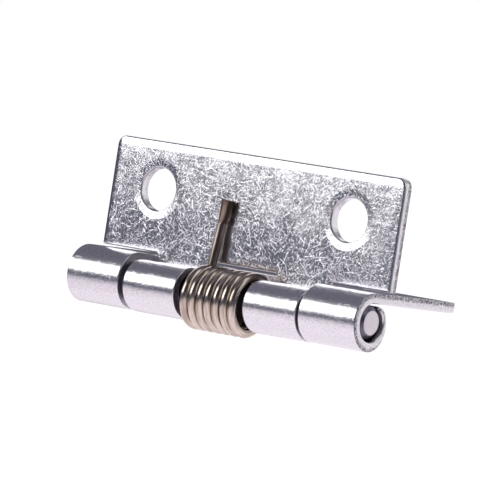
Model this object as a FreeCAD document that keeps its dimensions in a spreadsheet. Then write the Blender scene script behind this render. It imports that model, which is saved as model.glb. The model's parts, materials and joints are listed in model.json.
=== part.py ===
import FreeCAD, Part
import math
import os
import Sketcher

# Spring loaded butt hinge for a small door or lid, in millimetres.
# X runs along the pin, Z is up. The fixed leaf lies level, its mounting face up, and the
# moving leaf stands upright behind the barrel, where the spring holds it.
# The origin is midway between the fixed leaf's screw holes, on its mounting face.

SIZES = (
    ("hinge_length", 50.0, "both leaves along the pin"),
    ("sheet_gauge", 1.5, "steel sheet of both leaves"),
    ("barrel_diameter", 8.0, "outside of the rolled knuckles"),
    ("fixed_leaf_width", 18.5, "pin axis to the fixed leaf's free edge"),
    ("moving_leaf_width", 19.5, "pin axis to the moving leaf's free edge"),
    ("inner_knuckle_length", 9.0, "each of the moving leaf's two knuckles"),
    ("left_seam", 0.9, "end play between the two knuckles on the left"),
    ("right_seam", 0.5, "end play between the two knuckles on the right"),
    ("notch_clearance", 0.3, "from the barrel to the edge of a notch"),
    ("closing_angle", 30.0, "where a knuckle starts to close on the pin, before its lowest point"),
    ("closing_outside", 0.55, "how much smaller the closing part's outer radius is"),
    ("closing_inside", 0.12, "how much smaller the closing part's inner radius is"),
    ("curl_end_angle", 53.0, "where the rolled edge ends, above the pin's level"),
    ("curl_corner_radius", 1.0, "corners of the rolled edge"),
    ("burr_round", 0.15, "tumbled outline of the mounting side, with the rolled edge"),
    ("hole_diameter", 6.0, "screw holes"),
    ("hole_spacing", 33.2, "between a leaf's two screw holes"),
    ("hole_from_pin", 12.9, "screw holes to the pin axis"),
    ("leaf_corner_radius", 1.3, "outer corners of a leaf"),
    ("notch_corner_radius", 0.5, "inner corners of a notch"),
    ("roll_width", 1.15, "stamped slope along every edge of the barrel side, across the sheet"),
    ("roll_depth", 0.105, "drop of that slope, through the sheet"),
    ("edge_roll", 0.3, "rounding between that slope and the outline's edge"),
    ("hole_roll", 0.2, "rounding between that slope and a hole's edge"),
    ("pin_clearance", 0.3, "pin to the round part of a knuckle's bore, on the radius"),
    ("pin_recess", 0.2, "pin end inside the end of the barrel"),
    ("pin_chamfer", 0.57, "both ends of the pin"),
    ("wire_diameter", 1.25, "spring wire"),
    ("coil_play", 1.03, "pin to the inside of the centred coil, on the radius"),
    ("coil_seat_gap", 0.32, "pin to the coil where the coil hangs nearest to it"),
    ("coil_turns", 7.0, "whole turns between the legs"),
    ("turn_gap", 0.13, "between one turn and the next"),
    ("coil_side_play", 1.09, "spring's slot beyond the length of the whole turns"),
    ("coil_end_gap", 0.12, "coil's right end to the knuckle beside it"),
    ("leg_reach", 13.0, "pin axis to the tip of a leg"),
    ("leg_gap", 0.13, "leg to the leaf it presses on"),
    ("leg_lean", 3.5, "leg towards its leaf, degrees"),
    ("leg_tilt", 9.0, "plane of a leg's bend, degrees out of square with the pin"),
    ("leg_bend_radius", 1.6, "bend between coil and leg, on the wire's centre"),
    ("flat_length", 3.4, "flattened tip of a leg"),
    ("flat_gauge", 0.8, "thickness of the flattened tip"),
    ("flat_root_width", 1.5, "flattened tip where it starts"),
    ("flat_end_width", 2.1, "flattened tip at its end"),
    ("flat_round", 0.15, "edges of the flattened tip"),
)

TOLERANCE = 1e-4

doc = FreeCAD.newDocument("spring_hinge")
sheet = doc.addObject("Spreadsheet::Sheet", "Sizes")
for row, (alias, value, note) in enumerate(SIZES, start=1):
    sheet.set(f"A{row}", alias)
    sheet.set(f"B{row}", str(value))
    sheet.set(f"C{row}", note)
    sheet.setAlias(f"B{row}", alias)
doc.recompute()


def size(alias):
    """A size read from the sheet."""
    return float(sheet.get(alias))


BARREL = "Sizes.barrel_diameter / 2"
BORE = "(Sizes.barrel_diameter / 2 - Sizes.sheet_gauge)"
NOTCH = "(Sizes.barrel_diameter / 2 + Sizes.notch_clearance)"
PITCH = "(Sizes.wire_diameter + Sizes.turn_gap)"
COIL = f"(round(Sizes.coil_turns) * {PITCH} + Sizes.wire_diameter)"
SLOT_END = f"({COIL} + Sizes.coil_side_play) / 2"
KNUCKLE_END = f"({SLOT_END} + Sizes.inner_knuckle_length)"
ROLL_WIDTH = "min(Sizes.roll_width; Sizes.leaf_corner_radius * 0.9)"

barrel_radius = size("barrel_diameter") / 2
bore_radius = barrel_radius - size("sheet_gauge")
pin_radius = bore_radius - size("pin_clearance")
notch_reach = barrel_radius + size("notch_clearance")


def new_body(name):
    body = doc.addObject("PartDesign::Body", name)
    body.Label = name
    return body


def plane(body, role):
    """One of a body's own origin planes."""
    return next(item for item in body.Origin.OriginFeatures if item.Role == role)


def new_sketch(body, name, role):
    sketch = body.newObject("Sketcher::SketchObject", name)
    sketch.AttachmentSupport = (plane(body, role), [""])
    sketch.MapMode = "FlatFace"
    return sketch


def dimension(sketch, name, expression, *args):
    """A named sketch dimension that takes its value from the sheet."""
    index = sketch.addConstraint(Sketcher.Constraint(*args))
    sketch.renameConstraint(index, name)
    sketch.setExpression(f"Constraints.{name}", expression)


def join(sketch, *pairs):
    for first, second in pairs:
        sketch.addConstraint(Sketcher.Constraint("Coincident", *first, *second))


def line(sketch, start, end):
    edge = Part.LineSegment(FreeCAD.Vector(*start, 0), FreeCAD.Vector(*end, 0))
    return sketch.addGeometry(edge, False)


def arc(sketch, centre, radius, start, end):
    circle = Part.Circle(FreeCAD.Vector(*centre, 0), FreeCAD.Vector(0, 0, 1), radius)
    edge = Part.ArcOfCircle(circle, math.radians(start), math.radians(end))
    return sketch.addGeometry(edge, False)


def find_edges(shape, wanted):
    """Names of the edges that a test picks out."""
    return [f"Edge{i}" for i, edge in enumerate(shape.Edges, start=1) if wanted(edge)]


def near(value, target):
    return abs(value - target) < TOLERANCE


def leaf_profile(body, width):
    """Section across the pin: a flat sheet whose edge is rolled down, under and up again."""
    sketch = new_sketch(body, f"{body.Name}_profile", "YZ_Plane")
    tip = math.radians(size("curl_end_angle"))
    turn = math.radians(270 - size("closing_angle"))
    width_now = size(width)

    def closing_arc(radius, less):
        """The arc that goes on inside a circle from the closing angle, up to the rolled edge."""
        centre = (less * math.cos(turn), less * math.sin(turn))
        along = centre[0] * math.cos(tip) + centre[1] * math.sin(tip)
        out = along + math.sqrt(along**2 - less**2 + (radius - less)**2)
        end = (out * math.cos(tip), out * math.sin(tip))
        angle = math.degrees(math.atan2(end[1] - centre[1], end[0] - centre[0]))
        return end, arc(sketch, centre, radius - less, math.degrees(turn), 360 + angle)

    top = line(sketch, (0, barrel_radius), (width_now, barrel_radius))
    edge = line(sketch, (width_now, barrel_radius), (width_now, bore_radius))
    under = line(sketch, (width_now, bore_radius), (0, bore_radius))
    bore = arc(sketch, (0, 0), bore_radius, 90, math.degrees(turn))
    inner_tip, inside = closing_arc(bore_radius, size("closing_inside"))
    outer_tip, outside = closing_arc(barrel_radius, size("closing_outside"))
    lip = line(sketch, inner_tip, outer_tip)
    barrel = arc(sketch, (0, 0), barrel_radius, 90, math.degrees(turn))

    join(sketch, ((top, 1), (barrel, 1)), ((top, 2), (edge, 1)), ((edge, 2), (under, 1)),
         ((under, 2), (bore, 1)), ((inside, 2), (lip, 1)), ((lip, 2), (outside, 2)),
         ((bore, 3), (-1, 1)), ((barrel, 3), (-1, 1)))
    for kind, *args in (("Horizontal", top), ("Vertical", edge), ("Horizontal", under),
                        ("PointOnObject", barrel, 1, -2), ("PointOnObject", bore, 1, -2),
                        ("Tangent", bore, 2, inside, 1), ("Tangent", barrel, 2, outside, 1),
                        ("PointOnObject", -1, 1, lip)):
        sketch.addConstraint(Sketcher.Constraint(kind, *args))
    for name, radius, now, less, whole, part in (
            ("bore", BORE, bore_radius, "closing_inside", bore, inside),
            ("barrel", BARREL, barrel_radius, "closing_outside", barrel, outside)):
        dimension(sketch, f"{name}_radius", radius, "Radius", whole, now)
        dimension(sketch, f"{name}_closing_radius", f"{radius} - Sizes.{less}",
                  "Radius", part, now - size(less))
        dimension(sketch, f"{name}_closing_place", f"{radius} * sin(Sizes.closing_angle * 1deg)",
                  "DistanceX", whole, 2, -1, 1, -now * math.cos(turn))
    dimension(sketch, "leaf_width", f"Sizes.{width}", "DistanceX", -1, 1, top, 2, width_now)
    dimension(sketch, "curl_end", "Sizes.curl_end_angle * 1deg", "Angle", -1, 1, lip, 1, tip)
    return sketch


def notch(body, name, left, right):
    """Square cut that clears the barrel on both sides."""
    sketch = new_sketch(body, name, "XY_Plane")
    corners = ((-1, -2), (1, -2), (1, 1), (-1, 1))
    sides = [line(sketch, corners[i], corners[(i + 1) % 4]) for i in range(4)]
    join(sketch, *(((sides[i], 2), (sides[(i + 1) % 4], 1)) for i in range(4)))
    for kind, side in (("Horizontal", 0), ("Vertical", 1), ("Horizontal", 2), ("Vertical", 3)):
        sketch.addConstraint(Sketcher.Constraint(kind, sides[side]))
    dimension(sketch, "left", left, "DistanceX", -1, 1, sides[0], 1, -1)
    dimension(sketch, "right", right, "DistanceX", -1, 1, sides[1], 1, 1)
    dimension(sketch, "front", f"-{NOTCH}", "DistanceY", -1, 1, sides[0], 1, -2)
    dimension(sketch, "back", NOTCH, "DistanceY", -1, 1, sides[2], 1, 1)
    cut = body.newObject("PartDesign::Pocket", f"{name}_cut")
    cut.Profile = sketch
    cut.Type = "ThroughAll"
    cut.Midplane = True


def leaf(name, width, notches):
    """A leaf of folded sheet, lying level with its barrel at the origin."""
    body = new_body(name)
    fold = body.newObject("PartDesign::Pad", f"{name}_sheet")
    fold.Profile = leaf_profile(body, width)
    fold.SideType = "Symmetric"
    fold.setExpression("Length", "Sizes.hinge_length")
    doc.recompute()
    for index, (left, right) in enumerate(notches, start=1):
        notch(body, f"{name}_notch_{index}", left, right)
    doc.recompute()

    round_off(body, f"{name}_corners", "Sizes.leaf_corner_radius",
              lambda edge: across_sheet(edge) and at_end(edge) and edge_is_at(edge, size(width)))
    round_off(body, f"{name}_notch_corners", "Sizes.notch_corner_radius",
              lambda edge: across_sheet(edge) and not at_end(edge) and edge_is_at(edge, notch_reach))

    holes = new_sketch(body, f"{name}_hole_centres", "XY_Plane")
    for side in (-1, 1):
        centre = FreeCAD.Vector(side * size("hole_spacing") / 2, size("hole_from_pin"), 0)
        circle = Part.Circle(centre, FreeCAD.Vector(0, 0, 1), size("hole_diameter") / 2)
        index = holes.addGeometry(circle, False)
        word = "left" if side < 0 else "right"
        dimension(holes, f"{word}_radius", "Sizes.hole_diameter / 2", "Radius", index,
                  size("hole_diameter") / 2)
        dimension(holes, f"{word}_place", f"{side} * Sizes.hole_spacing / 2",
                  "DistanceX", -1, 1, index, 3, centre.x)
        dimension(holes, f"{word}_reach", "Sizes.hole_from_pin",
                  "DistanceY", -1, 1, index, 3, centre.y)
    drill = body.newObject("PartDesign::Pocket", f"{name}_holes")
    drill.Profile = holes
    drill.Type = "ThroughAll"
    drill.Midplane = True
    doc.recompute()

    slope = new_step(body, "PartDesign::Chamfer", f"{name}_slope",
                     lambda edge: lies_at(edge, 0) and not edge_is_at(edge, 0))
    slope.ChamferType = "Two distances"
    slope.setExpression("Size", "Sizes.roll_depth")
    slope.setExpression("Size2", ROLL_WIDTH)
    doc.recompute()
    round_off(body, f"{name}_curl_corners", "Sizes.curl_corner_radius",
              lambda edge: on_lip(edge) and near(edge.BoundBox.XLength, 0))
    round_off(body, f"{name}_tumbled", "Sizes.burr_round", on_lip_outside)
    depth = size("roll_depth")
    round_off(body, f"{name}_hole_rims", "Sizes.hole_roll",
              lambda edge: lies_at(edge, depth) and len(edge.Vertexes) == 1)
    round_off(body, f"{name}_outline", "Sizes.edge_roll",
              lambda edge: lies_at(edge, depth) and len(edge.Vertexes) == 2)
    return body


def across_sheet(edge):
    """Whether an edge runs straight through the flat sheet's thickness."""
    gauge = size("sheet_gauge")
    return near(edge.BoundBox.ZLength, gauge) and near(edge.Length, gauge)


def at_end(edge):
    """Whether an edge is at an end of the hinge."""
    return near(abs(edge.CenterOfMass.x), size("hinge_length") / 2)


def edge_is_at(edge, reach):
    """Whether an edge is that far from the pin, across it."""
    return near(edge.CenterOfMass.y, reach)


def lies_at(edge, depth):
    """Whether an edge lies level, that deep in the sheet from its face on the barrel's side."""
    level = bore_radius + depth
    return near(edge.BoundBox.ZMin, level) and near(edge.BoundBox.ZMax, level)


def on_lip(edge):
    """Whether an edge lies in the end of the rolled sheet."""
    y, z = edge.CenterOfMass.y, edge.CenterOfMass.z
    return y > 0 and near(math.degrees(math.atan2(z, y)), size("curl_end_angle"))


def on_lip_outside(edge):
    """Whether an edge runs along the outer side of the rolled sheet's end."""
    return (on_lip(edge) and near(edge.BoundBox.XLength, edge.Length)
            and math.hypot(edge.CenterOfMass.y, edge.CenterOfMass.z) > bore_radius)


def new_step(body, kind, name, wanted):
    """A chamfer or fillet on the edges of a body that a test picks out."""
    base = body.Tip
    step = body.newObject(kind, name)
    step.Base = (base, find_edges(base.Shape, wanted))
    return step


def round_off(body, name, radius, wanted):
    """Rounds edges to a radius from the sheet."""
    new_step(body, "PartDesign::Fillet", name, wanted).setExpression("Radius", radius)
    doc.recompute()


def fixed_leaf():
    """Carries the outer knuckles; its notch takes the other leaf's knuckles and the spring."""
    left = f"-{KNUCKLE_END} - Sizes.left_seam"
    right = f"{KNUCKLE_END} + Sizes.right_seam"
    return leaf("fixed_leaf", "fixed_leaf_width", [(left, right)])


def moving_leaf():
    """Carries the inner knuckles, with the spring's slot between them."""
    end = "Sizes.hinge_length"
    cuts = [(f"-{end}", f"-{KNUCKLE_END}"), (f"-{SLOT_END}", SLOT_END), (KNUCKLE_END, end)]
    return leaf("moving_leaf", "moving_leaf_width", cuts)


def pin():
    """Straight pin with a wide chamfer at each end, held in the outer knuckles."""
    body = new_body("pin")
    sketch = new_sketch(body, "pin_section", "YZ_Plane")
    circle = Part.Circle(FreeCAD.Vector(0, 0, 0), FreeCAD.Vector(0, 0, 1), pin_radius)
    index = sketch.addGeometry(circle, False)
    join(sketch, ((index, 3), (-1, 1)))
    dimension(sketch, "radius", f"{BORE} - Sizes.pin_clearance", "Radius", index, pin_radius)
    rod = body.newObject("PartDesign::Pad", "pin_rod")
    rod.Profile = sketch
    rod.SideType = "Symmetric"
    rod.setExpression("Length", "Sizes.hinge_length - 2 * Sizes.pin_recess")
    doc.recompute()
    ends = new_step(body, "PartDesign::Chamfer", "pin_ends", lambda edge: near(edge.BoundBox.XLength, 0))
    ends.setExpression("Size", "Sizes.pin_chamfer")
    return body


def spring():
    """Torsion spring: a left-handed coil round the pin with one leg up each leaf.

    The coil hangs on the pin, off centre towards the front and down. Each leg leaves
    it in a bend the other way, which is tangent to the coil and to the leg, and ends
    flattened. The second leg is the first one turned over about the coil's middle.
    """
    wire_radius = size("wire_diameter") / 2
    coil_radius = pin_radius + size("coil_play") + wire_radius
    hang = (size("coil_play") - size("coil_seat_gap")) / math.sqrt(2)
    bend = size("leg_bend_radius")
    lean = math.radians(size("leg_lean"))

    # The first leg is laid out square to the pin, as (back, up) from the coil's centre.
    along = (math.sin(lean), math.cos(lean))
    across = (math.cos(lean), -math.sin(lean))
    tip_back = bore_radius - wire_radius - size("leg_gap") + math.tan(lean) * size("flat_length")
    from_centre = (tip_back + hang + bend * across[0], size("leg_reach") + hang + bend * across[1])
    offset = from_centre[0] * across[0] + from_centre[1] * across[1]
    rise = math.sqrt((coil_radius + bend)**2 - offset**2)
    leg_length = from_centre[0] * along[0] + from_centre[1] * along[1] - rise
    centre = (offset * across[0] + rise * along[0], offset * across[1] + rise * along[1])
    leaving = math.atan2(centre[1], centre[0])

    pitch = size("wire_diameter") + size("turn_gap")
    whole_turns = round(size("coil_turns"))
    turns = whole_turns + (2 * leaving - math.pi / 2) / (2 * math.pi)
    coil_length = turns * pitch
    slot = whole_turns * pitch + size("wire_diameter") + size("coil_side_play")
    right_end = slot / 2 - size("coil_end_gap") - wire_radius
    left_end = right_end - coil_length

    radial = FreeCAD.Vector(0, math.cos(leaving), math.sin(leaving))
    around = FreeCAD.Vector(0, -math.sin(leaving), math.cos(leaving))
    coil = Part.makeHelix(pitch, coil_length, coil_radius, 0, True)
    turn = FreeCAD.Rotation(radial, around, FreeCAD.Vector(1, 0, 0), "ZXY")
    coil.Placement = FreeCAD.Placement(FreeCAD.Vector(left_end, 0, 0), turn)

    lead = math.atan(pitch / (2 * math.pi * coil_radius))
    away = around * math.cos(lead) - FreeCAD.Vector(math.sin(lead), 0, 0)
    side = around * math.sin(lead) + FreeCAD.Vector(math.cos(lead), 0, 0)
    tilt = math.radians(size("leg_tilt"))
    outward = radial * math.cos(tilt) + side * math.sin(tilt)
    start = FreeCAD.Vector(left_end, 0, 0) + radial * coil_radius
    pivot = start + outward * bend

    def on_bend(angle):
        return pivot - outward * bend * math.cos(angle) + away * bend * math.sin(angle)

    bend_angle = leaving + lean
    leg_way = outward * math.sin(bend_angle) + away * math.cos(bend_angle)
    leg_start = on_bend(bend_angle)
    tip = leg_start + leg_way * leg_length
    flat_start = tip - leg_way * size("flat_length")
    # The round wire runs a little way into the flat, past that one's rounded end.
    wire_end = flat_start + leg_way * 2 * size("flat_round")
    curve = Part.Arc(start, on_bend(bend_angle / 2), leg_start).toShape()
    leg = Part.LineSegment(leg_start, wire_end).toShape()

    def turned(shape):
        middle = FreeCAD.Vector((left_end + right_end) / 2, 0, 0)
        return shape.copy().rotate(middle, FreeCAD.Vector(0, 1, 1), 180)

    path = Part.Wire(Part.__sortEdges__([leg, curve, *coil.Edges, turned(curve), turned(leg)]))
    first = path.OrderedEdges[0]
    section_at = first.valueAt(first.FirstParameter)
    section_way = first.tangentAt(first.FirstParameter)
    section = Part.Wire(Part.Edge(Part.Circle(section_at, section_way, wire_radius)))
    wire = path.makePipeShell([section], True, False)

    face_way = leg_way.cross(FreeCAD.Vector(1, 0, 0)).normalize()
    wide = face_way.cross(leg_way).normalize()
    corner = []
    for point, width in ((flat_start, "flat_root_width"), (tip, "flat_end_width")):
        for hand in (-1, 1):
            corner.append(point + wide * hand * size(width) / 2 - face_way * size("flat_gauge") / 2)
    outline = Part.makePolygon([corner[0], corner[1], corner[3], corner[2], corner[0]])
    flat = Part.Face(outline).extrude(face_way * size("flat_gauge"))
    flat = flat.makeFillet(size("flat_round"), flat.Edges)

    piece = doc.addObject("Part::Feature", "spring")
    piece.Label = "spring"
    piece.Shape = wire.fuse([flat, turned(flat)]).removeSplitter()
    piece.Placement = FreeCAD.Placement(FreeCAD.Vector(0, -hang, -hang), FreeCAD.Rotation())
    return piece


def place(piece, turn=FreeCAD.Rotation()):
    """Moves a piece from the pin axis to the hinge's own origin."""
    to_origin = FreeCAD.Vector(0, -size("hole_from_pin"), -barrel_radius)
    piece.Placement = FreeCAD.Placement(to_origin, turn).multiply(piece.Placement)


pieces = {"fixed_leaf": fixed_leaf(), "moving_leaf": moving_leaf(), "pin": pin(), "spring": spring()}
doc.recompute()

# Turned over about the line midway between back and up, the moving leaf stands behind the barrel.
turned_over = FreeCAD.Rotation(FreeCAD.Vector(0, 1, 1), 180)
for name, piece in pieces.items():
    place(piece, turned_over if name == "moving_leaf" else FreeCAD.Rotation())
doc.recompute()

for item in doc.Objects:
    if "Invalid" in item.State or "Error" in item.State:
        raise RuntimeError(f"{item.Label} failed: {item.State}")

os.makedirs("parts", exist_ok=True)
for name, piece in pieces.items():
    shape = piece.Shape
    if shape.isNull() or not shape.isValid() or len(shape.Solids) != 1:
        raise RuntimeError(f"{name} is not one valid solid")
    shape.exportStep(f"parts/{name}.step")
    box = shape.BoundBox
    print(f"{name}: {shape.Volume:.2f} mm3, x {box.XMin:.2f} {box.XMax:.2f},"
          f" y {box.YMin:.2f} {box.YMax:.2f}, z {box.ZMin:.2f} {box.ZMax:.2f}")
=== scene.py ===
import json
import math

import bmesh
import bpy
from mathutils import Matrix, Vector


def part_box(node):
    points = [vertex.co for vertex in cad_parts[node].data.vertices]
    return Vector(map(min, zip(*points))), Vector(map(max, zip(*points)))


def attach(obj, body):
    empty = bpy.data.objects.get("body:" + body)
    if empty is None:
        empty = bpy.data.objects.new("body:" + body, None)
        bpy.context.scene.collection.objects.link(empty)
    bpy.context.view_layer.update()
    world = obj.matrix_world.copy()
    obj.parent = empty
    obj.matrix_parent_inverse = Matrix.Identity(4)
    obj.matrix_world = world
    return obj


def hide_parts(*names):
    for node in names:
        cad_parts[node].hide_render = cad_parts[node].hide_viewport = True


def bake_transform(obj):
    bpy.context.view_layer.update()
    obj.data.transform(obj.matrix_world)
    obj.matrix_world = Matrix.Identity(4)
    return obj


bl_info = {
    "name": "Spring hinge looks",
    "version": (1, 0, 0),
    "blender": (4, 5, 0),
    "location": "3D View > Sidebar > Hinge",
    "description": "Finishes a small zinc plated spring hinge and winds its torsion spring",
    "category": "Object",
}

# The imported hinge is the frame. X runs along the pin, the fixed leaf lies level, and the
# moving leaf stands upright behind the barrel. Lengths are in metres, apart from those of
# the metals' patterns and the cards' shading, which are in millimetres.
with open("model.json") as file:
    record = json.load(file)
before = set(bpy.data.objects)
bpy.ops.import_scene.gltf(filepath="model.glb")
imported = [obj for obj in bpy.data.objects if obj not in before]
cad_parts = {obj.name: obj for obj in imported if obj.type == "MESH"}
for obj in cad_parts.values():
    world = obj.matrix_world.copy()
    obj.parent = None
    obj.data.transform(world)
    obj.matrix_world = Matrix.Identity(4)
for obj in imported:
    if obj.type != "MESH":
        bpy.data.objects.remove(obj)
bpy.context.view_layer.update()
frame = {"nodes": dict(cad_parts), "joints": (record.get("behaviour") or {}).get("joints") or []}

MM = 0.001
X = Vector((1, 0, 0))
PIN_AXIS = Vector(frame["joints"][0]["pos_m"])
BARREL_RADIUS = -PIN_AXIS.z
pin_low, pin_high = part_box("pin")
PIN_RADIUS = (pin_high.z - pin_low.z) / 2
LEFT_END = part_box("moving_leaf")[0].x

# In a colour mix, inputs 6 and 7 are the two colours and output 2 is the result.
COLOURS = {"data_type": "RGBA"}
SMOOTH = {"interpolation_type": "SMOOTHSTEP"}


class SpringSizes(bpy.types.PropertyGroup):
    """The torsion spring as it is wound."""

    wire: bpy.props.FloatProperty(
        name="Wire", description="Diameter of the spring wire",
        default=1.25 * MM, unit="LENGTH")
    play: bpy.props.FloatProperty(
        name="Play", description="From the pin to the inside of the centred coil",
        default=1.03 * MM, unit="LENGTH")
    seat_gap: bpy.props.FloatProperty(
        name="Seat gap", description="From the pin to the coil where the coil hangs nearest to it",
        default=0.32 * MM, unit="LENGTH")
    turns: bpy.props.IntProperty(
        name="Turns", description="Whole turns between the two legs", default=7)
    turn_gap: bpy.props.FloatProperty(
        name="Turn gap", description="Between one turn and the next",
        default=0.13 * MM, unit="LENGTH")
    right_end: bpy.props.FloatProperty(
        name="Right end", description="Middle of the coil's last turn, along the pin",
        default=5.255 * MM, unit="LENGTH")
    leg_reach: bpy.props.FloatProperty(
        name="Leg reach", description="From the pin axis to the tip of a leg",
        default=13.0 * MM, unit="LENGTH")
    leg_gap: bpy.props.FloatProperty(
        name="Leg gap", description="Between a leg and the leaf that it presses on",
        default=0.13 * MM, unit="LENGTH")
    sheet: bpy.props.FloatProperty(
        name="Sheet", description="Thickness of the leaves",
        default=1.5 * MM, unit="LENGTH")
    lean: bpy.props.FloatProperty(
        name="Lean", description="How far a leg leans towards its leaf",
        default=math.radians(2.5), subtype="ANGLE")
    tilt: bpy.props.FloatProperty(
        name="Tilt", description="How far the plane of a leg's bend is out of square with the pin",
        default=math.radians(9), subtype="ANGLE")
    bend: bpy.props.FloatProperty(
        name="Bend", description="Radius of the bend between coil and leg, on the wire's centre",
        default=1.6 * MM, unit="LENGTH")
    flat_length: bpy.props.FloatProperty(
        name="Flat length", description="Length of a leg's flattened tip",
        default=3.4 * MM, unit="LENGTH")
    flat_gauge: bpy.props.FloatProperty(
        name="Flat gauge", description="Thickness of a leg's flattened tip",
        default=0.8 * MM, unit="LENGTH")
    flat_root: bpy.props.FloatProperty(
        name="Flat root", description="Width of the flattened tip where it starts",
        default=1.5 * MM, unit="LENGTH")
    flat_end: bpy.props.FloatProperty(
        name="Flat end", description="Width of the flattened tip at its end",
        default=2.1 * MM, unit="LENGTH")


class Finishes(bpy.types.PropertyGroup):
    """Colours of the metals and of the studio, as sRGB hex."""

    zinc: bpy.props.StringProperty(
        name="Zinc", description="Bright zinc plating", default="#EBE9EE")
    torn: bpy.props.StringProperty(
        name="Torn edge", description="Torn metal at the cut edges", default="#55515D")
    pin_end: bpy.props.StringProperty(
        name="Pin end", description="Cut end of the pin", default="#DAD5DC")
    pin_rim: bpy.props.StringProperty(
        name="Pin rim", description="Chamfer round the pin's end", default="#75717C")
    bronze: bpy.props.StringProperty(
        name="Spring", description="Tempered spring wire", default="#DED3CA")
    bronze_dark: bpy.props.StringProperty(
        name="Spring, darker", description="Where tempering has darkened the wire",
        default="#B3A396")
    # The flattened tips' darker colour is partly their own and partly painted shade, and a share
    # of it is painted shade on the straight legs.
    hammered_and_shaded: bpy.props.StringProperty(
        name="Spring, flattened", description="Flattened tips of the legs", default="#665850")
    floor: bpy.props.StringProperty(
        name="Floor", description="Floor as the metal shows it", default="#F9F0F7")
    floor_seen: bpy.props.StringProperty(
        name="Floor, seen", description="Floor as the camera sees it", default="#FFFFFF")
    floor_shade: bpy.props.StringProperty(
        name="Floor shade", description="How much of the floor takes a shadow", default="#8E8C8F")
    ceiling: bpy.props.StringProperty(
        name="Ceiling", description="Dark cards overhead and at the left", default="#6E6D78")
    front_card: bpy.props.StringProperty(
        name="Front card", description="Dark card low in front", default="#565A68")
    camera_side: bpy.props.StringProperty(
        name="Camera side", description="Dark cards behind the camera and at the right",
        default="#3E3C40")


class Studio(bpy.types.PropertyGroup):
    """Camera, floor and the low card in front."""

    azimuth: bpy.props.FloatProperty(
        name="Azimuth", description="Camera's angle round the hinge, from the front",
        default=math.radians(38.28), subtype="ANGLE")
    elevation: bpy.props.FloatProperty(
        name="Elevation", description="Camera's angle above the level leaf",
        default=math.radians(0.97), subtype="ANGLE")
    roll: bpy.props.FloatProperty(
        name="Roll", description="Camera's turn about its own view",
        default=math.radians(8.81), subtype="ANGLE")
    distance: bpy.props.FloatProperty(
        name="Distance", description="From the camera to the hinge",
        default=0.70769, unit="LENGTH")
    lens: bpy.props.FloatProperty(
        name="Lens", description="Focal length in millimetres", default=391.9, unit="CAMERA")
    floor_drop: bpy.props.FloatProperty(
        name="Floor drop", description="From the hinge's origin down to the floor",
        default=0.036, unit="LENGTH")
    card_reach: bpy.props.FloatProperty(
        name="Card reach", description="From the pin to the upright part of the front card",
        default=0.25, unit="LENGTH")
    card_top: bpy.props.FloatProperty(
        name="Card top", description="Height of the front card's upper edge",
        default=0.044, unit="LENGTH")


def linear(hex_colour):
    """An sRGB hex colour as linear RGBA."""
    shares = [int(hex_colour[i:i + 2], 16) / 255 for i in (1, 3, 5)]
    return [s / 12.92 if s <= 0.04045 else ((s + 0.055) / 1.055) ** 2.4 for s in shares] + [1]


def add_node(tree, kind, *inputs, **settings):
    """Adds a shader node with its settings, values and links.

    The inputs are given in order, or by name in one dictionary. Each is a value, an output
    to link from, or a node, whose first output is linked.
    """
    node = tree.nodes.new("ShaderNode" + kind)
    for name, value in settings.items():
        setattr(node, name, value)
    named = inputs[0] if inputs and isinstance(inputs[0], dict) else dict(enumerate(inputs))
    for key, value in named.items():
        if isinstance(value, bpy.types.Node):
            value = value.outputs[0]
        if isinstance(value, bpy.types.NodeSocket):
            tree.links.new(value, node.inputs[key])
        else:
            node.inputs[key].default_value = value
    return node


def new_material(name):
    material = bpy.data.materials.new(name)
    material.use_nodes = True
    material.node_tree.nodes.clear()
    return material


def place_in_mm(tree):
    """The point on the surface from the pin's middle, in millimetres."""
    here = add_node(tree, "TexCoord").outputs["Object"]
    from_pin = add_node(tree, "VectorMath", here, PIN_AXIS, operation="SUBTRACT")
    return add_node(tree, "VectorMath", {0: from_pin, "Scale": 1 / MM}, operation="SCALE")


def distance(tree, place, kept_axes):
    """How far a point is from the pin's middle, measured along the kept axes."""
    kept = add_node(tree, "VectorMath", place, kept_axes, operation="MULTIPLY")
    return add_node(tree, "VectorMath", kept, operation="LENGTH").outputs["Value"]


def unevenness(tree, place, grain, detail, stretch=None):
    """Noise round zero in all three directions, coarser along an axis that is stretched."""
    if stretch:
        place = add_node(tree, "VectorMath", place, stretch, operation="MULTIPLY")
    field = add_node(tree, "TexNoise", {"Vector": place, "Scale": 1 / grain,
                                        "Detail": detail, "Roughness": 0.6})
    return add_node(tree, "VectorMath", field.outputs["Color"], (0.5, 0.5, 0.5),
                    operation="SUBTRACT")


def own_normal(tree, softness):
    """The surface's normal in the piece's own axes, softened over its sharp edges."""
    soft = add_node(tree, "Bevel", {"Radius": softness * MM}, samples=4)
    return add_node(tree, "VectorTransform", soft,
                    vector_type="NORMAL", convert_from="WORLD", convert_to="OBJECT")


def tipped(tree, normal, *tips):
    """The normal with every small tip added, in the scene's axes."""
    for tip in tips:
        normal = add_node(tree, "VectorMath", normal, tip, operation="ADD")
    turned = add_node(tree, "VectorTransform", normal,
                      vector_type="NORMAL", convert_from="OBJECT", convert_to="WORLD")
    return add_node(tree, "VectorMath", turned, operation="NORMALIZE")


# The plating's patterns, in millimetres. A tip is the sideways part that is added to the
# normal. A range of four numbers reads from, to, value at the first, value at the second.
EDGE_SOFTNESS = 0.16
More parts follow.
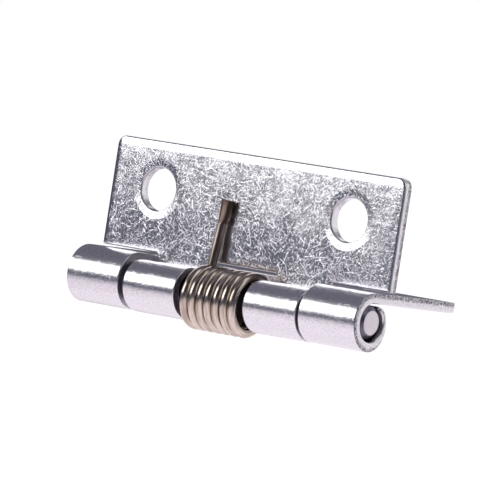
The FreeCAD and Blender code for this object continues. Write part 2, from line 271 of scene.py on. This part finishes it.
# Tumbling leaves scratches about 0.01 wide, which are too fine to show. They are drawn about
# five times as wide. Each kind is shifted, so that its cells don't line up with another's.
SCRATCHES = (
    {"shift": (0, 0, 0), "spacing": 0.55, "half_width": 0.024, "tip": 0.45},
    {"shift": (5.2, 1.3, 8.1), "spacing": 0.42, "half_width": 0.022, "tip": 0.45},
    {"shift": (9.7, 4.4, 2.9), "spacing": 1.2, "half_width": 0.034, "tip": 0.6},
    {"shift": (3.1, 7.9, 6.6), "spacing": 0.5, "half_width": 0.024, "tip": 0.45},
    {"shift": (7.7, 2.8, 4.3), "spacing": 0.9, "half_width": 0.03, "tip": 0.6},
)
# A scratch tips the normal partly across its own line and partly in a way of its own.
SCRATCH_LEAN = 0.4
SCRATCH_SCATTER = 2.0
# Facets lie between the scratches, and broad clouds of the sheet are more or less worn.
FACETS = {"grain": 0.07, "detail": 0}
FACET_TIP = 0.3
CLOUDS = {"grain": 5.0, "detail": 2}
CLOUD_TIP = 0.07
WORN = (-0.12, 0.12, 0.6, 1.1)
# The flat sheet is bowed round its middle, and starts where the barrel ends.
BOW_MIDDLE = 11.0
BOW_PER_MM = 0.0018
PAST_BARREL = (4.05, 4.8, 0, 1)
FACING_OUT = (0.93, 0.99, 0, 1)
# The ironed barrel keeps a share of the scratches and has streaks along it.
BARREL_SCRATCHED = 0.26
STREAKS = {"grain": 0.35, "detail": 4, "stretch": (0.2, 1, 1)}
STREAK_TIP = 0.09
# The stamping rolled the left end over.
ROLLED_END = (0.2, 1.1, 1, 0)
ROLL_TIP = 0.5
# Specks dull the plating, and torn metal darkens the outer ends.
SPECKS = {"grain": 0.2, "detail": 3, "stretch": (0.7, 1, 1)}
DULL_SPECK = (-0.1, 0.22, 0, 0.2)
FACING_END = (0.6, 0.85, 0, 1)
TORN_ENDS = (17.0, 24.0, 0, 1)
TORN_DEPTH = (0.35, 0.95, 1.05, 0.12)
TEARS = {"grain": 0.18, "detail": 3}
TEAR_TIP = 0.9
GRIT = {"Scale": 1 / 0.22, "Detail": 3, "Roughness": 0.7}
GRIT_CONTRAST = 3.4
GRIT_LEVEL = -2.05
BARREL_ROUGHNESS = 0.2
FLAT_ROUGHNESS = 0.14
END_ROUGHER = 0.08


def scratches(tree, place, normal, shift, spacing, half_width, tip):
    """Short scratches in every direction: each cell holds one, tipped its own way."""
    shifted = add_node(tree, "VectorMath", place, shift, operation="ADD")
    cells = add_node(tree, "TexVoronoi", {"Vector": shifted, "Scale": 1 / spacing})
    off = add_node(tree, "VectorMath", shifted, cells.outputs["Position"], operation="SUBTRACT")
    way = add_node(tree, "VectorMath", cells.outputs["Color"], (0.5, 0.5, 0.5),
                   operation="SUBTRACT")
    across = add_node(tree, "VectorMath", normal, way, operation="CROSS_PRODUCT")
    side = add_node(tree, "VectorMath", across, operation="NORMALIZE")
    from_line = add_node(tree, "VectorMath", off, side, operation="DOT_PRODUCT").outputs["Value"]
    from_line = add_node(tree, "Math", from_line, operation="ABSOLUTE")
    height = add_node(tree, "MapRange", from_line, 0, half_width, tip, 0, **SMOOTH)
    lean = add_node(tree, "VectorMath", {0: side, "Scale": SCRATCH_LEAN}, operation="SCALE")
    own_way = add_node(tree, "VectorMath", way, X * SCRATCH_SCATTER, operation="CROSS_PRODUCT")
    tilt = add_node(tree, "VectorMath", lean, own_way, operation="ADD")
    return add_node(tree, "VectorMath", {0: tilt, "Scale": height}, operation="SCALE")


def tumbling(tree, place, normal, outward):
    """What the tumbling left on the flat sheet, which is also bowed a little."""
    facets = unevenness(tree, place, **FACETS)
    tips = add_node(tree, "VectorMath", {0: facets, "Scale": FACET_TIP}, operation="SCALE")
    for layer in SCRATCHES:
        tips = add_node(tree, "VectorMath", tips, scratches(tree, place, normal, **layer),
                        operation="ADD")
    clouds = unevenness(tree, place, **CLOUDS)
    worn = add_node(tree, "MapRange", add_node(tree, "SeparateXYZ", clouds), *WORN, **SMOOTH)
    tips = add_node(tree, "VectorMath", {0: tips, "Scale": worn}, operation="SCALE")
    clouds = add_node(tree, "VectorMath", {0: clouds, "Scale": CLOUD_TIP}, operation="SCALE")
    tips = add_node(tree, "VectorMath", tips, clouds, operation="ADD")
    bow = add_node(tree, "VectorMath", place, outward * BOW_PER_MM,
                   outward * -BOW_PER_MM * BOW_MIDDLE, operation="MULTIPLY_ADD")
    return add_node(tree, "VectorMath", tips, bow, operation="ADD")


def torn_metal(tree, place, over, along):
    """How torn a sheared end is: most next to the barrel's outside and the mounting face.

    Over is the distance from the pin towards the mounting face, and along the distance from
    the pin towards the free edge. Where the sheet has left the barrel, only over counts.
    """
    sheet_side = add_node(tree, "Math", over, 0, operation="GREATER_THAN")
    behind = add_node(tree, "Math", along, 0, operation="MINIMUM")
    change = add_node(tree, "Math", behind, along, operation="SUBTRACT")
    beside = add_node(tree, "Math", change, sheet_side, along, operation="MULTIPLY_ADD")
    square = add_node(tree, "Math", over, over, operation="MULTIPLY")
    square = add_node(tree, "Math", beside, beside, square, operation="MULTIPLY_ADD")
    radius = add_node(tree, "Math", square, operation="SQRT")
    depth = add_node(tree, "Math", BARREL_RADIUS / MM, radius, operation="SUBTRACT")
    near = add_node(tree, "MapRange", depth, *TORN_DEPTH, **SMOOTH)
    grit = add_node(tree, "TexNoise", {"Vector": place, **GRIT})
    grit = add_node(tree, "Math", grit, GRIT_CONTRAST, GRIT_LEVEL, operation="MULTIPLY_ADD")
    return add_node(tree, "Clamp", add_node(tree, "Math", near, grit, operation="ADD"))


def zinc_plate(name, colour, cut_colour, level):
    """Mild steel sheet, stamped, rolled, bright zinc plated and tumbled.

    Short scratches and small facets in every direction make the flat sheet sparkle. Its
    rolled edges are burnished smooth, and the left end is rolled over further. The barrel,
    ironed in the rolling, is smooth with faint streaks along it and dull specks. The outer
    ends show the shear's bright band and, next to the mounting side, darker torn metal.
    Level is the axis across the flat sheet: 2 for the fixed leaf and 1 for the moving one.
    """
    material = new_material(name)
    tree = material.node_tree
    place = place_in_mm(tree)
    normal = own_normal(tree, EDGE_SOFTNESS)
    axes = add_node(tree, "SeparateXYZ", place).outputs
    faces = add_node(tree, "SeparateXYZ", normal).outputs
    free_way = 3 - level
    outward = Vector([float(axis == free_way) for axis in range(3)])

    off_barrel = add_node(tree, "MapRange", distance(tree, place, (0, 1, 1)),
                          *PAST_BARREL, **SMOOTH)
    facing = add_node(tree, "Math", faces[level], operation="ABSOLUTE")
    facing = add_node(tree, "MapRange", facing, *FACING_OUT, **SMOOTH)
    flat = add_node(tree, "Math", off_barrel, facing, operation="MULTIPLY")
    scratched = add_node(tree, "Math", flat, 1 - BARREL_SCRATCHED, BARREL_SCRATCHED,
                         operation="MULTIPLY_ADD")
    tumbled = add_node(tree, "VectorMath", {0: tumbling(tree, place, normal, outward),
                                            "Scale": scratched}, operation="SCALE")

    from_left = add_node(tree, "Math", axes[0], LEFT_END / MM, operation="SUBTRACT")
    rolled = add_node(tree, "MapRange", from_left, *ROLLED_END, **SMOOTH)
    rolled = add_node(tree, "Math", flat, rolled, operation="MULTIPLY")
    die_roll = add_node(tree, "VectorMath", {0: -X * ROLL_TIP, "Scale": rolled}, operation="SCALE")
    streaks = unevenness(tree, place, **STREAKS)
    streaks = add_node(tree, "VectorMath", streaks, (0, STREAK_TIP, STREAK_TIP),
                       operation="MULTIPLY")

    end = add_node(tree, "Math", faces[0], operation="ABSOLUTE")
    end = add_node(tree, "MapRange", end, *FACING_END, **SMOOTH)
    from_middle = add_node(tree, "Math", axes[0], operation="ABSOLUTE")
    outer_end = add_node(tree, "MapRange", from_middle, *TORN_ENDS, **SMOOTH)
    outer_end = add_node(tree, "Math", end, outer_end, operation="MULTIPLY")
    torn = add_node(tree, "Math", torn_metal(tree, place, axes[level], axes[free_way]), outer_end,
                    operation="MULTIPLY")
    tear_tip = add_node(tree, "Math", end, TEAR_TIP, operation="MULTIPLY")
    tears = unevenness(tree, place, **TEARS)
    tears = add_node(tree, "VectorMath", {0: tears, "Scale": tear_tip}, operation="SCALE")

    specks = unevenness(tree, place, **SPECKS)
    specks = add_node(tree, "SeparateXYZ", specks).outputs[1]
    specks = add_node(tree, "MapRange", specks, *DULL_SPECK, **SMOOTH)
    dull = add_node(tree, "Math", torn, specks, operation="MAXIMUM")
    tone = add_node(tree, "Mix", {0: dull, 6: linear(colour), 7: linear(cut_colour)}, **COLOURS)
    roughness = add_node(tree, "Math", flat, FLAT_ROUGHNESS - BARREL_ROUGHNESS, BARREL_ROUGHNESS,
                         operation="MULTIPLY_ADD")
    roughness = add_node(tree, "Math", end, END_ROUGHER, roughness, operation="MULTIPLY_ADD")
    shader = add_node(tree, "BsdfPrincipled",
                      {"Base Color": tone.outputs[2], "Metallic": 1.0, "Roughness": roughness,
                       "Normal": tipped(tree, normal, tumbled, die_roll, streaks, tears)})
    add_node(tree, "OutputMaterial", shader)
    return material


# The spring wire's patterns, in millimetres along the wire and across it. They are long
# along the wire, because the die drew them out.
WIRE_SOFTNESS = 0.04
DRAWN_STREAKS = {"grain": 0.16, "detail": 4, "stretch": (0.04, 1, 1)}
DRAWN_TIP = 0.14
HAMMERED_DEEPER = 0.5
TINT = {"Scale": 1 / 0.4545, "Detail": 3, "Roughness": 0.6}
TINT_STRETCH = (0.12, 1, 1)
TINTED = (0.35, 0.65, 0, 1)
DRAWN_ROUGHNESS = 0.18
HAMMERED_ROUGHER = 0.14


def spring_steel(colour, dark_colour, hammered_and_shaded_colour):
    """Drawn spring wire, tempered to a straw and bronze colour.

    The die has left fine streaks along the wire, and the tempering has tinted it unevenly.
    The flattened tips are darker and more deeply streaked; their darker tone is partly painted
    shade, and the straight legs take a share of it as painted shade.
    """
    material = new_material("tempered_spring_wire")
    tree = material.node_tree
    wire = add_node(tree, "Attribute", attribute_name="wire").outputs["Vector"]
    hammered_and_shaded = add_node(tree, "Attribute", attribute_name="hammered_and_shaded").outputs["Fac"]
    depth = add_node(tree, "Math", hammered_and_shaded, HAMMERED_DEEPER, DRAWN_TIP, operation="MULTIPLY_ADD")
    streaks = unevenness(tree, wire, **DRAWN_STREAKS)
    streaks = add_node(tree, "VectorMath", {0: streaks, "Scale": depth}, operation="SCALE")
    stretched = add_node(tree, "VectorMath", wire, TINT_STRETCH, operation="MULTIPLY")
    tint = add_node(tree, "TexNoise", {"Vector": stretched, **TINT})
    tint = add_node(tree, "MapRange", tint, *TINTED, **SMOOTH)
    tone = add_node(tree, "Mix", {0: tint, 6: linear(colour), 7: linear(dark_colour)}, **COLOURS)
    # The flattened tips' darker tone is partly painted shade; on the straight legs it is painted
    # shade only.
    tone = add_node(tree, "Mix", {0: hammered_and_shaded, 6: tone.outputs[2], 7: linear(hammered_and_shaded_colour)},
                    **COLOURS)
    roughness = add_node(tree, "Math", hammered_and_shaded, HAMMERED_ROUGHER, DRAWN_ROUGHNESS,
                         operation="MULTIPLY_ADD")
    shader = add_node(tree, "BsdfPrincipled",
                      {"Base Color": tone.outputs[2], "Metallic": 1.0, "Roughness": roughness,
                       "Normal": tipped(tree, own_normal(tree, WIRE_SOFTNESS), streaks)})
    add_node(tree, "OutputMaterial", shader)
    return material


# The pin end's dents, in millimetres, and the range from its rim to its flat middle.
DENTS = {"grain": 0.5, "detail": 4}
DENT_TIP = 0.4
FACING_ASIDE = (0.8, 0.97, 1, 0)
PIN_ROUGHNESS = 0.35


def cut_steel(colour, rim_colour):
    """End of a plated steel rod, sheared and tumbled to a matt grey, with a darker rim."""
    material = new_material("pin_end_steel")
    tree = material.node_tree
    normal = own_normal(tree, EDGE_SOFTNESS)
    dents = unevenness(tree, place_in_mm(tree), **DENTS)
    dents = add_node(tree, "VectorMath", {0: dents, "Scale": DENT_TIP}, operation="SCALE")
    facing = add_node(tree, "Math", add_node(tree, "SeparateXYZ", normal), operation="ABSOLUTE")
    rim = add_node(tree, "MapRange", facing, *FACING_ASIDE, **SMOOTH)
    tone = add_node(tree, "Mix", {0: rim, 6: linear(colour), 7: linear(rim_colour)}, **COLOURS)
    shader = add_node(tree, "BsdfPrincipled",
                      {"Base Color": tone.outputs[2], "Metallic": 1.0,
                       "Roughness": PIN_ROUGHNESS, "Normal": tipped(tree, normal, dents)})
    add_node(tree, "OutputMaterial", shader)
    return material


# Steps round the wire's section, round one turn of the coil and round a leg's bend.
RING_STEPS = 32
TURN_STEPS = 96
BEND_STEPS = 24
# The straight part of a leg has this share of its hammered tip's darker tone, as painted
# shade that dims its highlight. The flat and the full tone start over a short run.
LEG_PAINTED_SHADE = 0.7
FLAT_RUN_IN = 0.3 * MM
TONE_RUN_IN = 0.1 * MM


class SpringPlan:
    """Where the spring's wire runs, worked out from its sizes and the frame."""

    def __init__(self, sizes):
        radius = sizes.wire / 2
        bore = BARREL_RADIUS - sizes.sheet
        self.wire_radius = radius
        self.coil_radius = PIN_RADIUS + sizes.play + radius
        # The legs push the coil away from both leaves, so it hangs off the pin's middle.
        hang = (sizes.play - sizes.seat_gap) / math.sqrt(2)
        self.hub = PIN_AXIS + Vector((0, -hang, -hang))

        # Seen along the pin, the bend touches both the coil and the straight leg.
        along = Vector((math.sin(sizes.lean), math.cos(sizes.lean)))
        across = Vector((math.cos(sizes.lean), -math.sin(sizes.lean)))
        tip_back = bore - radius - sizes.leg_gap + math.tan(sizes.lean) * sizes.flat_length
        tip = Vector((tip_back + hang, sizes.leg_reach + hang)) + across * sizes.bend
        offset = tip.dot(across)
        rise = math.sqrt((self.coil_radius + sizes.bend)**2 - offset**2)
        self.leg_length = tip.dot(along) - rise
        centre = across * offset + along * rise
        leaving = math.atan2(centre.y, centre.x)

        # The second leg is the first turned over about the diagonal between the leaves, so
        # the coil adds twice the angle from that diagonal to where the leg leaves it.
        self.pitch = sizes.wire + sizes.turn_gap
        self.sweep = 2 * math.pi * sizes.turns + 2 * leaving - math.pi / 2
        self.right_end = sizes.right_end
        self.left_end = sizes.right_end - self.sweep / (2 * math.pi) * self.pitch

        self.radial = Vector((0, math.cos(leaving), math.sin(leaving)))
        around = Vector((0, -math.sin(leaving), math.cos(leaving)))
        lead = math.atan(self.pitch / (2 * math.pi * self.coil_radius))
        self.away = around * math.cos(lead) - X * math.sin(lead)
        self.side = around * math.sin(lead) + X * math.cos(lead)
        self.outward = self.radial * math.cos(sizes.tilt) + self.side * math.sin(sizes.tilt)
        self.start = self.hub + X * self.left_end + self.radial * self.coil_radius
        self.bend_angle = leaving + sizes.lean
        self.bend_centre = self.start + self.outward * sizes.bend
        self.leg_way = (self.outward * math.sin(self.bend_angle)
                        + self.away * math.cos(self.bend_angle))

    def on_coil(self, point):
        """Where a point of the coil is, along its wire and across it."""
        off = point - self.hub
        round_hub = Vector((0, off.y, off.z))
        angle = math.atan2(self.radial.y * off.z - self.radial.z * off.y,
                           round_hub.dot(self.radial))
        turns = -angle / (2 * math.pi)
        turns += round((off.x - self.left_end) / self.pitch - turns)
        across = off.x - self.left_end - turns * self.pitch
        return Vector((turns * 2 * math.pi * self.coil_radius, across,
                       round_hub.length - self.coil_radius))


def wire_ring(bm, plan):
    """The wire's round section where the coil meets its first leg."""
    turn = Matrix((plan.radial, plan.side, plan.radial.cross(plan.side))).transposed().to_4x4()
    ring = bmesh.ops.create_circle(bm, segments=RING_STEPS, radius=plan.wire_radius,
                                   matrix=Matrix.Translation(plan.start) @ turn)
    return list({edge for vert in ring["verts"] for edge in vert.link_edges})


def close_ends(bm):
    """Closes the open ends of a tube, with a crisp rim."""
    rims = [edge for edge in bm.edges if edge.is_boundary]
    bmesh.ops.holes_fill(bm, edges=rims, sides=0)
    bmesh.ops.recalc_face_normals(bm, faces=bm.faces)
    for face in bm.faces:
        face.smooth = True
    for edge in rims:
        edge.smooth = False


def lay_out(bm, to_wire, leg_painted_shade=0.0, flat_from=math.inf):
    """Keeps each point's place in the wire as if it were straight, for the drawn streaks."""
    layer = bm.verts.layers.float_vector.new("wire")
    hammered_and_shaded = bm.verts.layers.float.new("hammered_and_shaded")
    for vert in bm.verts:
        place = to_wire(vert.co)
        vert[layer] = place / MM
        # On the straight leg, the share of the hammered tone is painted shade.
        vert[hammered_and_shaded] = 1 if place.x > flat_from else leg_painted_shade


def new_piece(bm, name, material):
    mesh = bpy.data.meshes.new(name)
    bm.to_mesh(mesh)
    bm.free()
    mesh.materials.append(material)
    piece = bpy.data.objects.new(name, mesh)
    bpy.context.scene.collection.objects.link(piece)
    return piece


def wind_coil(plan):
    """The coil: the wire's section screwed round the pin."""
    bm = bmesh.new()
    ring = wire_ring(bm, plan)
    steps = round(TURN_STEPS * plan.sweep / (2 * math.pi))
    bmesh.ops.spin(
        bm, geom=ring, cent=plan.hub, axis=-X, angle=plan.sweep, steps=steps,
        dvec=X * (plan.right_end - plan.left_end) / steps, use_duplicate=False)
    close_ends(bm)
    lay_out(bm, plan.on_coil)
    return bm


def form_leg(plan, sizes):
    """A leg: the wire bent away from the coil, run straight up its leaf and flattened."""
    bm = bmesh.new()
    ring = wire_ring(bm, plan)
    bend_axis = plan.outward.cross(plan.away)
    bent = bmesh.ops.spin(
        bm, geom=ring, cent=plan.bend_centre, axis=-bend_axis, angle=plan.bend_angle,
        steps=BEND_STEPS, dvec=(0, 0, 0), use_duplicate=False)
    rim = [item for item in bent["geom_last"] if isinstance(item, bmesh.types.BMEdge)]
    face_way = plan.leg_way.cross(X).normalized()
    wide = face_way.cross(plan.leg_way).normalized()
    to_section = Matrix((wide, face_way, plan.leg_way)).to_4x4()
    centre = sum((v.co for v in {v for e in rim for v in e.verts}), Vector()) / RING_STEPS

    flat_start = plan.leg_length - sizes.flat_length
    stations = [(flat_start, sizes.wire, sizes.wire),
                (flat_start + FLAT_RUN_IN, sizes.flat_root, sizes.flat_gauge),
                (plan.leg_length, sizes.flat_end, sizes.flat_gauge)]
    done, width, gauge = 0.0, sizes.wire, sizes.wire
    for reach, next_width, next_gauge in stations:
        grown = bmesh.ops.extrude_edge_only(bm, edges=rim)["geom"]
        rim = [item for item in grown if isinstance(item, bmesh.types.BMEdge)
               and all(v in grown for v in item.verts) and item.is_boundary]
        verts = list({v for e in rim for v in e.verts})
        place = centre + plan.leg_way * reach
        bmesh.ops.translate(bm, verts=verts, vec=plan.leg_way * (reach - done))
        bmesh.ops.scale(bm, verts=verts, vec=(next_width / width, next_gauge / gauge, 1),
                        space=to_section @ Matrix.Translation(-place))
        done, width, gauge = reach, next_width, next_gauge
    close_ends(bm)
    to_leg = Matrix((plan.leg_way, wide, face_way))
    lay_out(bm, lambda point: to_leg @ (point - centre), LEG_PAINTED_SHADE, flat_start + TONE_RUN_IN)
    return bm


class HINGE_OT_finish_leaves(bpy.types.Operator):
    """Gives both leaves their zinc plating."""

    bl_idname = "hinge.finish_leaves"
    bl_label = "Finish leaves"

    def execute(self, context):
        finishes = context.scene.hinge_finishes
        for node, level in (("fixed_leaf", 2), ("moving_leaf", 1)):
            leaf = frame["nodes"][node]
            plate = zinc_plate(f"zinc_plated_{node}", finishes.zinc, finishes.torn, level)
            leaf.data.materials.clear()
            leaf.data.materials.append(plate)
        return {"FINISHED"}


class HINGE_OT_finish_pin(bpy.types.Operator):
    """Gives the pin its cut steel ends."""

    bl_idname = "hinge.finish_pin"
    bl_label = "Finish pin"

    def execute(self, context):
        finishes = context.scene.hinge_finishes
        pin = frame["nodes"]["pin"]
        pin.data.materials.clear()
        pin.data.materials.append(cut_steel(finishes.pin_end, finishes.pin_rim))
        return {"FINISHED"}


class HINGE_OT_wind_spring(bpy.types.Operator):
    """Winds the coil and forms its two legs, one for each leaf."""

    bl_idname = "hinge.wind_spring"
    bl_label = "Wind spring"

    def execute(self, context):
        sizes = context.scene.hinge_spring
        plan = SpringPlan(sizes)
        finishes = context.scene.hinge_finishes
        metal = spring_steel(finishes.bronze, finishes.bronze_dark, finishes.hammered_and_shaded)

        coil = new_piece(wind_coil(plan), "spring_coil", metal)
        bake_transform(coil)
        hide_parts("spring")

        upper = new_piece(form_leg(plan, sizes), "spring_leg_moving_side", metal)
        turned = form_leg(plan, sizes)
        middle = plan.hub + X * (plan.left_end + plan.right_end) / 2
        bmesh.ops.rotate(turned, verts=turned.verts, cent=middle,
                         matrix=Matrix.Rotation(math.pi, 3, Vector((0, 1, 1))))
        lower = new_piece(turned, "spring_leg_fixed_side", metal)
        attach(upper, "moving_side")
        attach(lower, "fixed_side")
        for leg in (upper, lower):
            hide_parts("spring")
        return {"FINISHED"}


class HINGE_OT_set_stage(bpy.types.Operator):
    """Sets the camera, the floor, the world, the dark cards and the lamp."""

    bl_idname = "hinge.set_stage"
    bl_label = "Set stage"

    def execute(self, context):
        scene = context.scene
        scene.view_settings.view_transform = "Standard"
        set_camera(scene)
        set_floor(scene)
        set_world(scene)
        set_cards(scene)
        set_lamp(scene)
        return {"FINISHED"}


# The camera looks at a point of the hinge and is then shifted across its view.
AIM = Vector((0, -7.9, 2.0)) * MM
AIM_LEFT = 2.41 * MM
AIM_UP = 1.86 * MM
SENSOR_WIDTH = 36
CLIP_START = 0.01
FLOOR_RADIUS = 6
FLOOR_STEPS = 64
FLOOR_GLOW = 0.87
WORLD_LIGHT = 0.7
WORLD_SEEN = 1.0
# Ranges in millimetres from the pin: the front card turns dark outwards and fades upwards,
# and the ceiling card fades outwards.
FRONT_SHADE = (60, 200, 0, 1)
FRONT_FADE = (10, 47, 0, 1)
CEILING_FADE = (540, 760, 0, 1)
# First and last angle of each card round the pin, in degrees from the front.
FRONT_SIDES = (-145, 125)
LEFT_SIDES = (-150, -70)
CAMERA_SIDES = (-20, 68)
RIGHT_SIDES = (76, 126)
CEILING_SIDES = (110, 435)
CARD_STEP = 5
# Distances of the cards from the pin, and their heights. All but the ceiling card stand a
# millimetre above the floor.
SIDE_REACH = 0.4
LEFT_TOP = 0.31
RIGHT_TOP = 0.13
CAMERA_SIDE_TOP = 0.45
CEILING_REACH = 0.77
CEILING_HEIGHT = 0.45
APRON_START = 0.05
APRON_MIDDLE = 0.1
# The softbox faces the pin's middle, from this way and this far off.
SOFTBOX_SIZE = (0.7, 0.27)
SOFTBOX_WAY = Vector((-0.619, -0.711, 0.332)).normalized()
SOFTBOX_REACH = 0.52
SOFTBOX_WATTS = 1.0


def set_camera(scene):
    """The camera stands where the photograph was taken from."""
    studio = scene.hinge_studio
    back = Vector((math.sin(studio.azimuth) * math.cos(studio.elevation),
                   -math.cos(studio.azimuth) * math.cos(studio.elevation),
                   math.sin(studio.elevation)))
    level = Vector((math.cos(studio.azimuth), math.sin(studio.azimuth), 0))
    up = back.cross(level)
    right = level * math.cos(studio.roll) + up * math.sin(studio.roll)
    over = back.cross(right)
    aim = AIM - level * AIM_LEFT + up * AIM_UP
    camera = bpy.data.objects.new("camera", bpy.data.cameras.new("camera"))
    camera.data.lens = studio.lens
    camera.data.sensor_width = SENSOR_WIDTH
    camera.data.clip_start = CLIP_START
    camera.matrix_world = (Matrix.Translation(aim + back * studio.distance)
                           @ Matrix((right, over, back)).transposed().to_4x4())
    scene.collection.objects.link(camera)
    scene.camera = camera


def seen_rays(tree):
    """1 for what the camera sees, by itself or in metal, and 0 for the light that falls."""
    rays = add_node(tree, "LightPath").outputs
    seen = add_node(tree, "Math", rays["Is Camera Ray"], rays["Is Glossy Ray"],
                    operation="MAXIMUM")
    return add_node(tree, "Math", seen, rays["Is Transmission Ray"], operation="MAXIMUM")


def set_floor(scene):
    """A wide floor: white to the camera, pale in the metal, with the hinge's own shadow."""
    bm = bmesh.new()
    place = Matrix.Translation((0, 0, -scene.hinge_studio.floor_drop))
    bmesh.ops.create_circle(bm, cap_ends=True, segments=FLOOR_STEPS, radius=FLOOR_RADIUS,
                            matrix=place)
    finishes = scene.hinge_finishes
    material = new_material("pale_floor")
    tree = material.node_tree
    matt = add_node(tree, "BsdfDiffuse", linear(finishes.floor))
    shade = add_node(tree, "BsdfDiffuse", linear(finishes.floor_shade))
    camera = add_node(tree, "LightPath").outputs["Is Camera Ray"]
    tone = add_node(tree, "Mix", {0: camera, 6: linear(finishes.floor),
                                  7: linear(finishes.floor_seen)}, **COLOURS)
    glow = add_node(tree, "Emission", tone.outputs[2], FLOOR_GLOW)
    seen_floor = add_node(tree, "AddShader", shade, glow)
    mix = add_node(tree, "MixShader", seen_rays(tree), matt, seen_floor)
    add_node(tree, "OutputMaterial", mix)
    new_piece(bm, "floor", material)


def set_world(scene):
    """Soft white surroundings."""
    world = bpy.data.worlds.new("studio")
    scene.world = world
    world.use_nodes = True
    tree = world.node_tree
    tree.nodes.clear()
    soft = add_node(tree, "Background", (1, 1, 1, 1), WORLD_LIGHT)
    white = add_node(tree, "Background", (1, 1, 1, 1), WORLD_SEEN)
    mix = add_node(tree, "MixShader", seen_rays(tree), soft, white)
    add_node(tree, "OutputWorld", mix)


def faded(tree, shader, measure, fade):
    """The shader, going clear over the range of a measure."""
    gone = add_node(tree, "MapRange", measure, *fade, **SMOOTH)
    return add_node(tree, "MixShader", gone, shader, add_node(tree, "BsdfTransparent"))


def dark_card(name, sides, rows, colour, near_colour=None, fade_up=None, fade_out=None):
    """A dark card round the pin that only metal sees.

    Sides are its first and last angle round the pin, and each row is a distance from the
    pin with its height. It can have another colour near the pin, and a soft upper or outer
    edge.
    """
    first, last = sides
    hub = Vector((PIN_AXIS.x, PIN_AXIS.y, 0))
    way = Vector((math.sin(math.radians(first)), -math.cos(math.radians(first)), 0))
    bm = bmesh.new()
    verts = [bm.verts.new(hub + way * reach + Vector((0, 0, height))) for reach, height in rows]
    edges = [bm.edges.new(pair) for pair in zip(verts, verts[1:])]
    bmesh.ops.spin(bm, geom=verts + edges, cent=hub, axis=(0, 0, 1), dvec=(0, 0, 0),
                   angle=math.radians(last - first), steps=round((last - first) / CARD_STEP),
                   use_duplicate=False)
    material = new_material(name)
    tree = material.node_tree
    place = place_in_mm(tree)
    tone = linear(colour)
    if near_colour:
        far = add_node(tree, "MapRange", distance(tree, place, (1, 1, 0)), *FRONT_SHADE, **SMOOTH)
        tone = add_node(tree, "Mix", {0: far, 6: linear(near_colour), 7: tone}, **COLOURS)
        tone = tone.outputs[2]
    shader = add_node(tree, "Emission", tone)
    if fade_up:
        height = add_node(tree, "SeparateXYZ", place).outputs[2]
        shader = faded(tree, shader, height, fade_up)
    if fade_out:
        shader = faded(tree, shader, distance(tree, place, (1, 1, 0)), fade_out)
    add_node(tree, "OutputMaterial", shader)
    piece = new_piece(bm, name, material)
    piece.visible_camera = False
    piece.visible_diffuse = False
    piece.visible_shadow = False


def set_cards(scene):
    """Dark cards give bright metal its dark lines."""
    finishes = scene.hinge_finishes
    studio = scene.hinge_studio
    low = MM - studio.floor_drop
    dark_card("ceiling_card", CEILING_SIDES,
              [(CEILING_REACH, CEILING_HEIGHT), (MM, CEILING_HEIGHT)],
              finishes.ceiling, fade_out=CEILING_FADE)
    for name, sides, top, colour in (
            ("left_card", LEFT_SIDES, LEFT_TOP, finishes.ceiling),
            ("right_card", RIGHT_SIDES, RIGHT_TOP, finishes.camera_side),
            ("camera_side_card", CAMERA_SIDES, CAMERA_SIDE_TOP, finishes.camera_side)):
        dark_card(name, sides, [(SIDE_REACH, low), (SIDE_REACH, top)], colour)
    dark_card("front_card", FRONT_SIDES,
              [(APRON_START, low), (APRON_MIDDLE, low), (studio.card_reach, low),
               (studio.card_reach, studio.card_top)],
              finishes.front_card, near_colour=finishes.floor, fade_up=FRONT_FADE)


def set_lamp(scene):
    """A large softbox at the front left."""
    data = bpy.data.lights.new("softbox", "AREA")
    data.shape = "RECTANGLE"
    data.size, data.size_y = SOFTBOX_SIZE
    data.energy = SOFTBOX_WATTS
    lamp = bpy.data.objects.new("softbox", data)
    lamp.location = PIN_AXIS + SOFTBOX_WAY * SOFTBOX_REACH
    lamp.rotation_euler = (-SOFTBOX_WAY).to_track_quat("-Z", "Y").to_euler()
    scene.collection.objects.link(lamp)


class HINGE_PT_looks(bpy.types.Panel):
    """Lists the pieces in the 3D view's sidebar."""

    bl_label = "Spring hinge"
    bl_idname = "HINGE_PT_looks"
    bl_space_type = "VIEW_3D"
    bl_region_type = "UI"
    bl_category = "Hinge"

    def draw(self, context):
        for operator in OPERATORS:
            self.layout.operator(operator.bl_idname)


GROUPS = (SpringSizes, Finishes, Studio)
OPERATORS = (HINGE_OT_finish_leaves, HINGE_OT_finish_pin, HINGE_OT_wind_spring, HINGE_OT_set_stage)


def register():
    for item in (*GROUPS, *OPERATORS, HINGE_PT_looks):
        bpy.utils.register_class(item)
    bpy.types.Scene.hinge_spring = bpy.props.PointerProperty(type=SpringSizes)
    bpy.types.Scene.hinge_finishes = bpy.props.PointerProperty(type=Finishes)
    bpy.types.Scene.hinge_studio = bpy.props.PointerProperty(type=Studio)


def unregister():
    del bpy.types.Scene.hinge_studio
    del bpy.types.Scene.hinge_finishes
    del bpy.types.Scene.hinge_spring
    for item in reversed((*GROUPS, *OPERATORS, HINGE_PT_looks)):
        bpy.utils.unregister_class(item)


def main():
    register()
    bpy.ops.hinge.finish_leaves()
    bpy.ops.hinge.finish_pin()
    bpy.ops.hinge.wind_spring()
    bpy.ops.hinge.set_stage()


if __name__ == "__main__":
    main()
